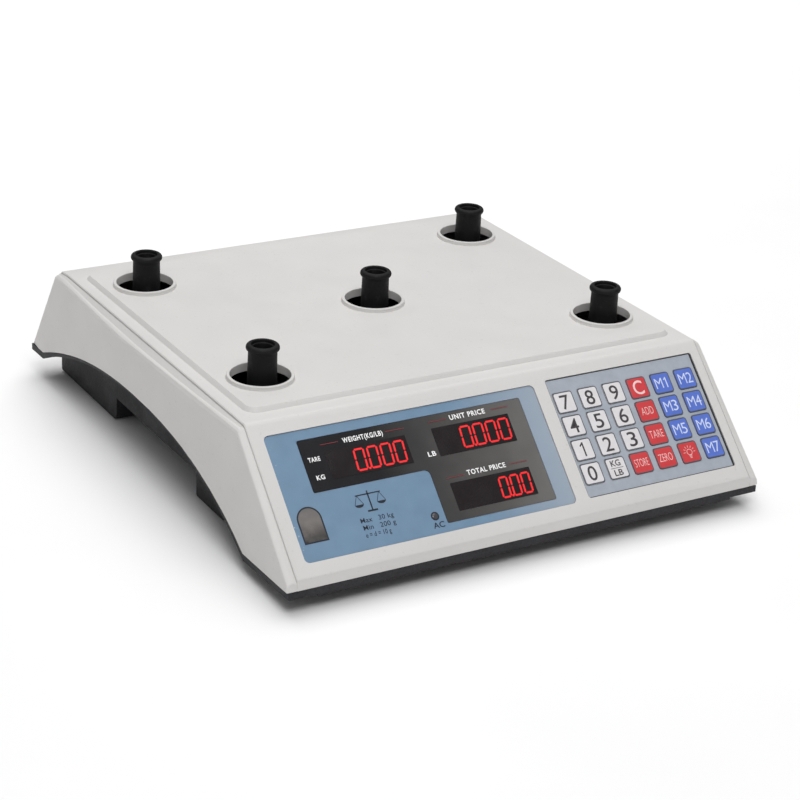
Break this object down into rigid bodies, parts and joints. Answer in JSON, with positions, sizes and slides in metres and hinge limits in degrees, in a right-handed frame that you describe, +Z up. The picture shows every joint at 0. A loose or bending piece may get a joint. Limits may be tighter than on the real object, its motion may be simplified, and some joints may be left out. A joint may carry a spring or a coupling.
{
  "type": "price-computing counter scale",
  "caption": "Bench scale with sloped front panel of red displays and membrane keys, arched side cheeks and rubber pan posts on a load cell; pan removed.",
  "frame": {"origin": "centre of the footprint of the overall bounding box, at the underside of the rubber feet", "axes": "+X to the operator's right, -Y towards the operator (keys and displays), +Z up"},
  "size_m": [0.3416, 0.3928, 0.1164],
  "materials": {
    "base": "coarse-grained moulded ABS, charcoal",
    "battery_case": "sealed lead-acid battery case with plated tabs",
    "screw_steel": "zinc-plated screws",
    "circuit_board": "green circuit board with solder mask sheen",
    "overlay_blue": "printed polyester panel, dusty blue, with white legends and thin dark red rules",
    "smoke_window": "smoked acrylic window with red seven-segment readings and white unit legends behind it",
    "key_white": "printed membrane key, white with dark legend",
    "key_red": "printed membrane key, red with white legend",
    "key_blue": "printed membrane key, blue with light legend",
    "overlay_keypad": "printed membrane overlay, blue-grey, with dark key outlines",
    "aluminium": "machined and cast aluminium, satin",
    "spacer_steel": "ground steel spacer",
    "rubber": "matt black moulded rubber with a slightly dusty bloom on the rims",
    "black_plastic": "moulded black plastic",
    "rocker_red": "moulded red rocker",
    "shell": null,
    "led_block": "LED display modules, dark red face with lit segments",
    "transformer_core": "laminated steel core with taped coil"
  },
  "bodies": {
    "housing": {"base_shell": "base", "battery": "battery_case", "battery_door": "base", "case_screw_front_left": "screw_steel", "case_screw_front_right": "screw_steel", "case_screw_rear_left": "screw_steel", "case_screw_rear_right": "screw_steel", "display_board": "circuit_board", "display_overlay": "overlay_blue", "display_window": "smoke_window", "keypad_board": "circuit_board", "keypad_overlay": "overlay_keypad", "load_cell": "aluminium", "lower_spacer": "spacer_steel", "main_board": "circuit_board", "power_inlet": "black_plastic", "rear_display_board": "circuit_board", "rear_window": "smoke_window", "rubber_foot_front_left": "rubber", "rubber_foot_front_right": "rubber", "rubber_foot_rear_left": "rubber", "rubber_foot_rear_right": "rubber", "switch_bezel": "black_plastic", "top_cover": "shell", "total_price_display": "led_block", "transformer": "transformer_core", "unit_price_display": "led_block", "weight_display": "led_block"},
    "load_platform": {"load_spider": "aluminium", "upper_spacer": "spacer_steel", "post_rear_left": "rubber", "post_rear_right": "rubber", "post_front_left": "rubber", "post_front_right": "rubber", "post_centre": "rubber"},
    "rocker": {"power_rocker": "rocker_red"},
    "key_7_cap": {"key_7": "key_white"},
    "key_8_cap": {"key_8": "key_white"},
    "key_9_cap": {"key_9": "key_white"},
    "key_clear_cap": {"key_clear": "key_red"},
    "key_memory_1_cap": {"key_memory_1": "key_blue"},
    "key_memory_2_cap": {"key_memory_2": "key_blue"},
    "key_4_cap": {"key_4": "key_white"},
    "key_5_cap": {"key_5": "key_white"},
    "key_6_cap": {"key_6": "key_white"},
    "key_add_cap": {"key_add": "key_red"},
    "key_memory_3_cap": {"key_memory_3": "key_blue"},
    "key_memory_4_cap": {"key_memory_4": "key_blue"},
    "key_1_cap": {"key_1": "key_white"},
    "key_2_cap": {"key_2": "key_white"},
    "key_3_cap": {"key_3": "key_white"},
    "key_tare_cap": {"key_tare": "key_red"},
    "key_memory_5_cap": {"key_memory_5": "key_blue"},
    "key_memory_6_cap": {"key_memory_6": "key_blue"},
    "key_0_cap": {"key_0": "key_white"},
    "key_unit_cap": {"key_unit": "key_white"},
    "key_store_cap": {"key_store": "key_red"},
    "key_zero_cap": {"key_zero": "key_red"},
    "key_backlight_cap": {"key_backlight": "key_red"},
    "key_memory_7_cap": {"key_memory_7": "key_blue"}
  },
  "joints": [
    {"name": "platform_slide", "type": "slide", "parent": "housing", "child": "load_platform", "axis": [0, 0, -1], "range_m": [0, 0.0008], "stiffness_N_per_m": 300000},
    {"name": "rocker_tilt", "type": "hinge", "parent": "housing", "child": "rocker", "pos_m": [0.1502, 0.008, 0.032], "axis": [0, 0, 1], "range_deg": [-16, 0]},
    {"name": "key_7_press", "type": "slide", "parent": "housing", "child": "key_7_cap", "axis": [0, 0.6964, -0.7177], "range_m": [0, 0.0003], "stiffness_N_per_m": 120},
    {"name": "key_8_press", "type": "slide", "parent": "housing", "child": "key_8_cap", "axis": [0, 0.6964, -0.7177], "range_m": [0, 0.0003], "stiffness_N_per_m": 120},
    {"name": "key_9_press", "type": "slide", "parent": "housing", "child": "key_9_cap", "axis": [0, 0.6964, -0.7177], "range_m": [0, 0.0003], "stiffness_N_per_m": 120},
    {"name": "key_clear_press", "type": "slide", "parent": "housing", "child": "key_clear_cap", "axis": [0, 0.6964, -0.7177], "range_m": [0, 0.0003], "stiffness_N_per_m": 120},
    {"name": "key_memory_1_press", "type": "slide", "parent": "housing", "child": "key_memory_1_cap", "axis": [0, 0.6964, -0.7177], "range_m": [0, 0.0003], "stiffness_N_per_m": 120},
    {"name": "key_memory_2_press", "type": "slide", "parent": "housing", "child": "key_memory_2_cap", "axis": [0, 0.6964, -0.7177], "range_m": [0, 0.0003], "stiffness_N_per_m": 120},
    {"name": "key_4_press", "type": "slide", "parent": "housing", "child": "key_4_cap", "axis": [0, 0.6964, -0.7177], "range_m": [0, 0.0003], "stiffness_N_per_m": 120},
    {"name": "key_5_press", "type": "slide", "parent": "housing", "child": "key_5_cap", "axis": [0, 0.6964, -0.7177], "range_m": [0, 0.0003], "stiffness_N_per_m": 120},
    {"name": "key_6_press", "type": "slide", "parent": "housing", "child": "key_6_cap", "axis": [0, 0.6964, -0.7177], "range_m": [0, 0.0003], "stiffness_N_per_m": 120},
    {"name": "key_add_press", "type": "slide", "parent": "housing", "child": "key_add_cap", "axis": [0, 0.6964, -0.7177], "range_m": [0, 0.0003], "stiffness_N_per_m": 120},
    {"name": "key_memory_3_press", "type": "slide", "parent": "housing", "child": "key_memory_3_cap", "axis": [0, 0.6964, -0.7177], "range_m": [0, 0.0003], "stiffness_N_per_m": 120},
    {"name": "key_memory_4_press", "type": "slide", "parent": "housing", "child": "key_memory_4_cap", "axis": [0, 0.6964, -0.7177], "range_m": [0, 0.0003], "stiffness_N_per_m": 120},
    {"name": "key_1_press", "type": "slide", "parent": "housing", "child": "key_1_cap", "axis": [0, 0.6964, -0.7177], "range_m": [0, 0.0003], "stiffness_N_per_m": 120},
    {"name": "key_2_press", "type": "slide", "parent": "housing", "child": "key_2_cap", "axis": [0, 0.6964, -0.7177], "range_m": [0, 0.0003], "stiffness_N_per_m": 120},
    {"name": "key_3_press", "type": "slide", "parent": "housing", "child": "key_3_cap", "axis": [0, 0.6964, -0.7177], "range_m": [0, 0.0003], "stiffness_N_per_m": 120},
    {"name": "key_tare_press", "type": "slide", "parent": "housing", "child": "key_tare_cap", "axis": [0, 0.6964, -0.7177], "range_m": [0, 0.0003], "stiffness_N_per_m": 120},
    {"name": "key_memory_5_press", "type": "slide", "parent": "housing", "child": "key_memory_5_cap", "axis": [0, 0.6964, -0.7177], "range_m": [0, 0.0003], "stiffness_N_per_m": 120},
    {"name": "key_memory_6_press", "type": "slide", "parent": "housing", "child": "key_memory_6_cap", "axis": [0, 0.6964, -0.7177], "range_m": [0, 0.0003], "stiffness_N_per_m": 120},
    {"name": "key_0_press", "type": "slide", "parent": "housing", "child": "key_0_cap", "axis": [0, 0.6964, -0.7177], "range_m": [0, 0.0003], "stiffness_N_per_m": 120},
    {"name": "key_unit_press", "type": "slide", "parent": "housing", "child": "key_unit_cap", "axis": [0, 0.6964, -0.7177], "range_m": [0, 0.0003], "stiffness_N_per_m": 120},
    {"name": "key_store_press", "type": "slide", "parent": "housing", "child": "key_store_cap", "axis": [0, 0.6964, -0.7177], "range_m": [0, 0.0003], "stiffness_N_per_m": 120},
    {"name": "key_zero_press", "type": "slide", "parent": "housing", "child": "key_zero_cap", "axis": [0, 0.6964, -0.7177], "range_m": [0, 0.0003], "stiffness_N_per_m": 120},
    {"name": "key_backlight_press", "type": "slide", "parent": "housing", "child": "key_backlight_cap", "axis": [0, 0.6964, -0.7177], "range_m": [0, 0.0003], "stiffness_N_per_m": 120},
    {"name": "key_memory_7_press", "type": "slide", "parent": "housing", "child": "key_memory_7_cap", "axis": [0, 0.6964, -0.7177], "range_m": [0, 0.0003], "stiffness_N_per_m": 120}
  ]
}
